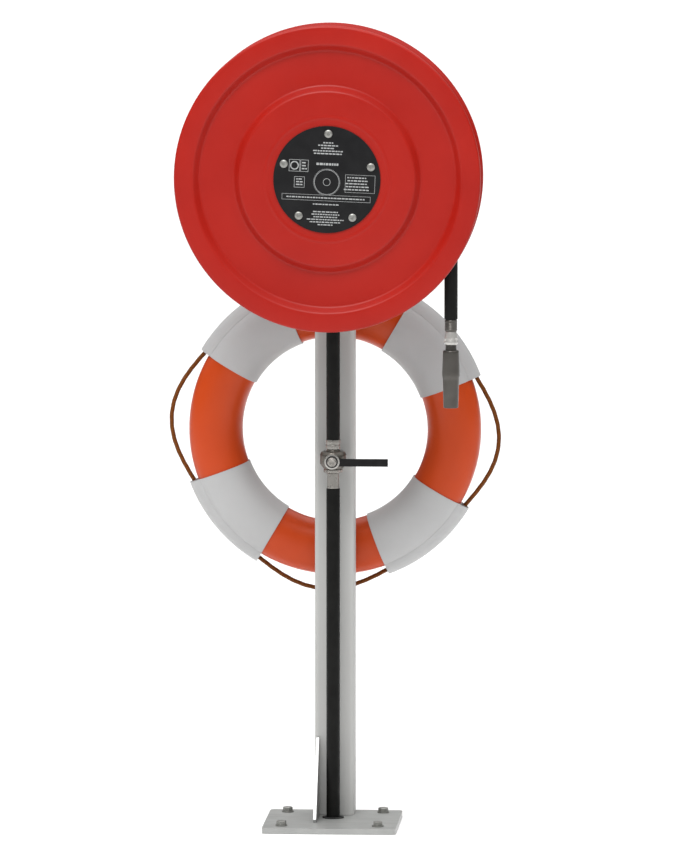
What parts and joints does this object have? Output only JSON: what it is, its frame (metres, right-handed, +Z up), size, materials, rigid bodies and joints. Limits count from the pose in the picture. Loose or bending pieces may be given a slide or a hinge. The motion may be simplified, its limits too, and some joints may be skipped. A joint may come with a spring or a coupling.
{
  "type": "fire hose reel",
  "caption": "Post-mounted fire hose reel with a two-disc drum, a lever shut-off valve, a twist nozzle and a lifebuoy hung behind the post.",
  "frame": {"origin": "axis of the square post on the underside of the base plate", "axes": "+Z up the post, -Y towards the reel's front face, +X to the right as seen from the front"},
  "size_m": [0.6804, 0.4408, 1.6414],
  "materials": {
    "stand_metal": "satin",
    "gusset_metal": "satin",
    "bolt_steel": "satin",
    "red_paint": "satin",
    "label_black": "satin",
    "hose_rubber": "satin",
    "valve_metal": "satin",
    "bright_metal": "polished",
    "seat_plastic": "matte",
    "lever_black": "satin",
    "brass": "satin",
    "nozzle_metal": "satin",
    "buoy_orange": "gloss",
    "band_grey": "matte",
    "line_brown": "matte"
  },
  "bodies": {
    "stand": {"base_plate": "stand_metal", "post": "stand_metal", "reel_bracket": "stand_metal", "buoy_hook": "stand_metal", "base_gusset": "gusset_metal", "anchor_bolt_1": "bolt_steel", "anchor_bolt_2": "bolt_steel", "anchor_bolt_3": "bolt_steel", "anchor_bolt_4": "bolt_steel", "bracket_bolt_1": "bolt_steel", "bracket_bolt_2": "bolt_steel", "hook_bolt_1": "bolt_steel", "hook_bolt_2": "bolt_steel", "supply_hose_lower": "hose_rubber", "supply_hose_upper": "hose_rubber", "hose_tail": "hose_rubber", "hose_grommet": "hose_rubber", "valve_body": "valve_metal", "valve_end_fitting": "valve_metal", "gland_nut": "valve_metal", "valve_ferrule": "valve_metal", "elbow_ferrule": "valve_metal", "nozzle_swivel_nut": "bright_metal", "axle": "bright_metal", "axle_nut": "bright_metal", "valve_seat_upper": "seat_plastic", "valve_seat_lower": "seat_plastic", "post_cap": "lever_black", "inlet_elbow": "brass", "nozzle_body": "nozzle_metal", "tail_ferrule": "nozzle_metal"},
    "reel": {"front_disc": "red_paint", "rear_disc": "red_paint", "drum_core": "red_paint", "label_plate": "label_black", "label_screw_1": "bolt_steel", "label_screw_2": "bolt_steel", "label_screw_3": "bolt_steel", "label_screw_4": "bolt_steel", "label_screw_5": "bolt_steel", "reel_hub": "bright_metal", "front_bush": "brass", "rear_bush": "brass", "hose_winding": "hose_rubber"},
    "valve_handle": {"valve_lever": "lever_black", "lever_washer": "bright_metal", "lever_spacer": "lever_black", "lever_nut": "bright_metal", "valve_stem": "bright_metal", "valve_ball": "bright_metal"},
    "nozzle_grip": {"nozzle_sleeve": "nozzle_metal"},
    "lifebuoy": {"buoy_ring": "buoy_orange", "buoy_band_1": "band_grey", "buoy_band_2": "band_grey", "buoy_band_3": "band_grey", "buoy_band_4": "band_grey", "grab_line_1": "line_brown", "grab_line_2": "line_brown", "grab_line_3": "line_brown", "grab_line_4": "line_brown"}
  },
  "joints": [
    {"name": "reel_spin", "type": "hinge", "parent": "stand", "child": "reel", "pos_m": [0, -0.216, 1.333], "axis": [0, 1, 0], "continuous": true},
    {"name": "valve_turn", "type": "hinge", "parent": "stand", "child": "valve_handle", "pos_m": [0, -0.077, 0.7464], "axis": [0, -1, 0], "range_deg": [0, 90]},
    {"name": "nozzle_twist", "type": "hinge", "parent": "stand", "child": "nozzle_grip", "pos_m": [0.2468, -0.226, 0.925], "axis": [0, 0, 1], "range_deg": [0, 180]},
    {"name": "lifebuoy_lift", "type": "slide", "parent": "stand", "child": "lifebuoy", "axis": [0, 0.5, 0.866], "range_m": [0, 0.35]}
  ]
}
